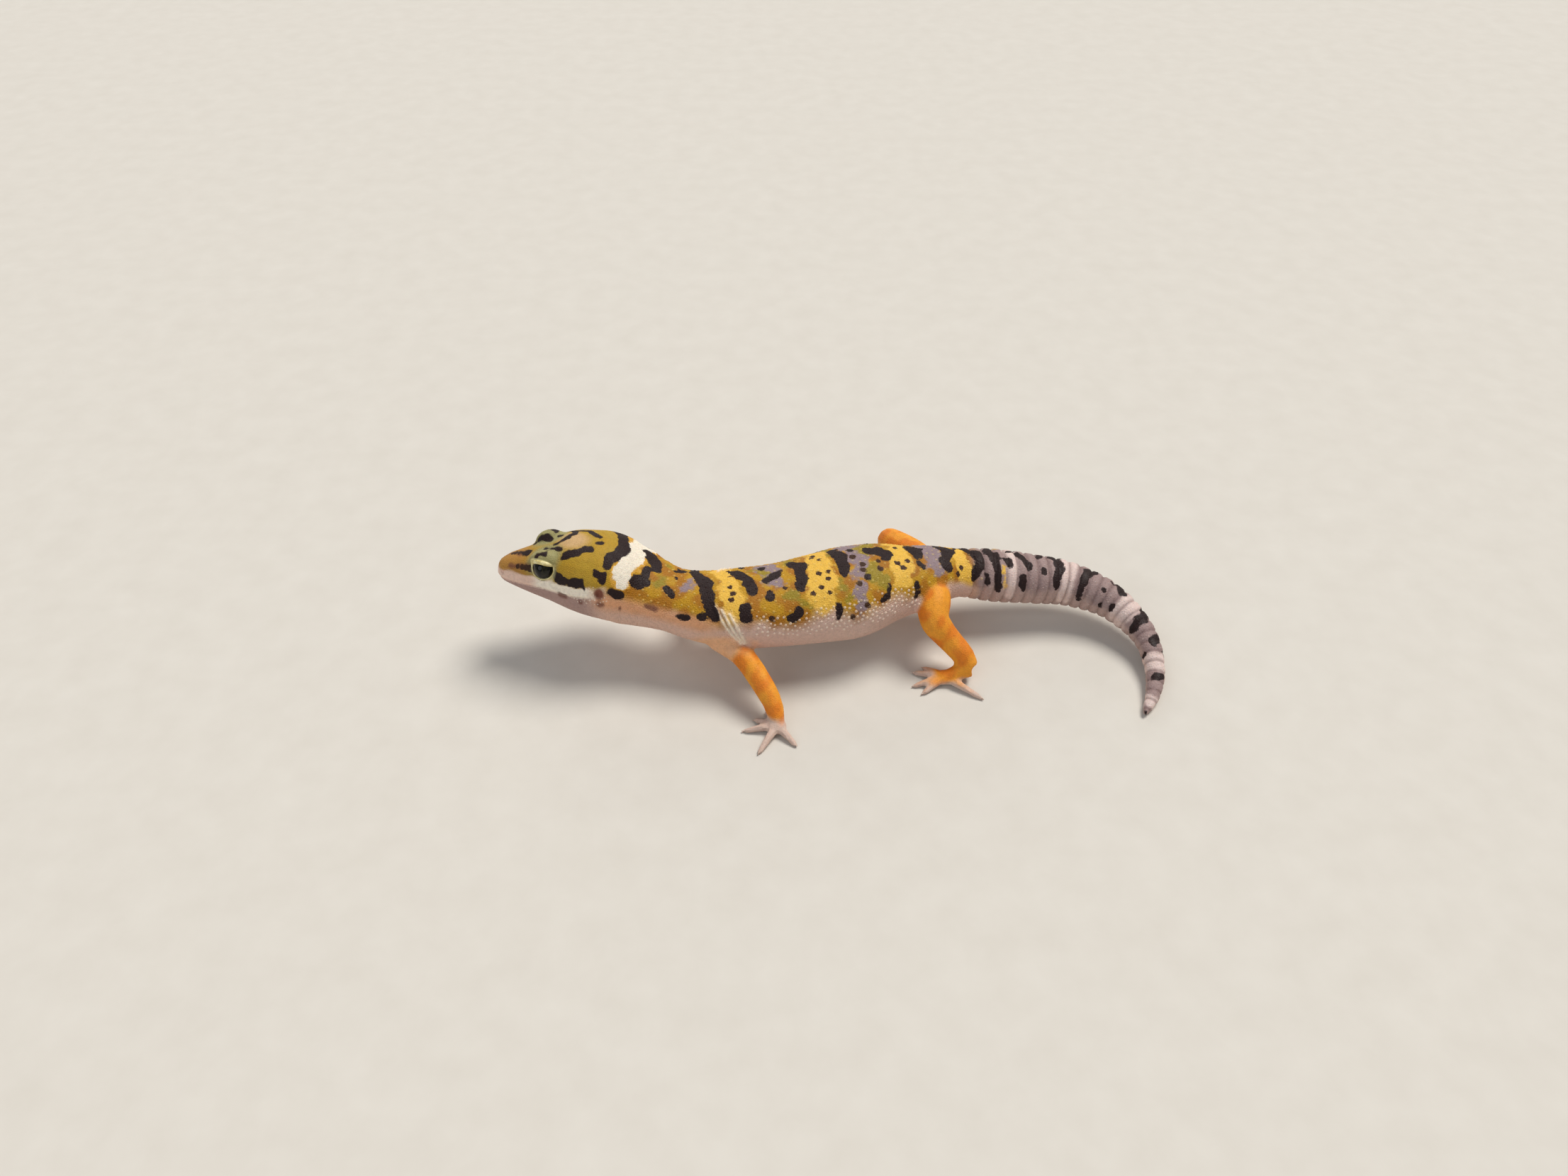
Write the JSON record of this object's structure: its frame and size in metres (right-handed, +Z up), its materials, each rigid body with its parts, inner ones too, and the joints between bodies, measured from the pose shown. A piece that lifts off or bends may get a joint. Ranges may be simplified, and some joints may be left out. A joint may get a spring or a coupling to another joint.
{
  "type": "leopard gecko",
  "caption": "Young banded gecko lizard, a still life-size model that stands on splayed legs, head raised, mouth closed, with its thick tail curled round to its left side.",
  "frame": {"origin": "on the floor, under the middle of the animal's box", "axes": "+X towards the tail, along the animal's length; +Y towards its right side; +Z up; the snout points to -X"},
  "size_m": [0.113, 0.0486, 0.0229],
  "materials": {
    "skin_head": "mustard skin of fine granules with a few dark spots, satin",
    "skin_jaw": "pinkish grey skin of fine granules, satin",
    "skin_neck": "ochre skin with a cream collar and dark bars, satin",
    "skin_body": "yellow, lavender and dark brown bands over granules and small tubercles, satin",
    "skin_tail": "pinkish lavender rings with dark bars, satin",
    "skin_leg": "orange skin of fine granules, satin",
    "skin_foot": "pale pink-grey skin, satin",
    "scales": "small raised scales in the colours of the skin under them",
    "claw": "small horn claws, semi-gloss",
    "eye": "near-black eye with a vertical slit pupil, wet gloss"
  },
  "bodies": {
    "root": {"head": "skin_head", "lower_jaw": "skin_jaw", "neck": "skin_neck", "trunk": "skin_body", "tail_base": "skin_tail", "tail_middle": "skin_tail", "tail_bend": "skin_tail", "tail_tip": "skin_tail", "front_left_upper_arm": "skin_leg", "front_left_forearm": "skin_leg", "front_left_hand": "skin_foot", "front_right_upper_arm": "skin_leg", "front_right_forearm": "skin_leg", "front_right_hand": "skin_foot", "hind_left_thigh": "skin_leg", "hind_left_shank": "skin_leg", "hind_left_foot": "skin_foot", "hind_right_thigh": "skin_leg", "hind_right_shank": "skin_leg", "hind_right_foot": "skin_foot", "eye_left": "eye", "eye_right": "eye"}
  },
  "joints": []
}
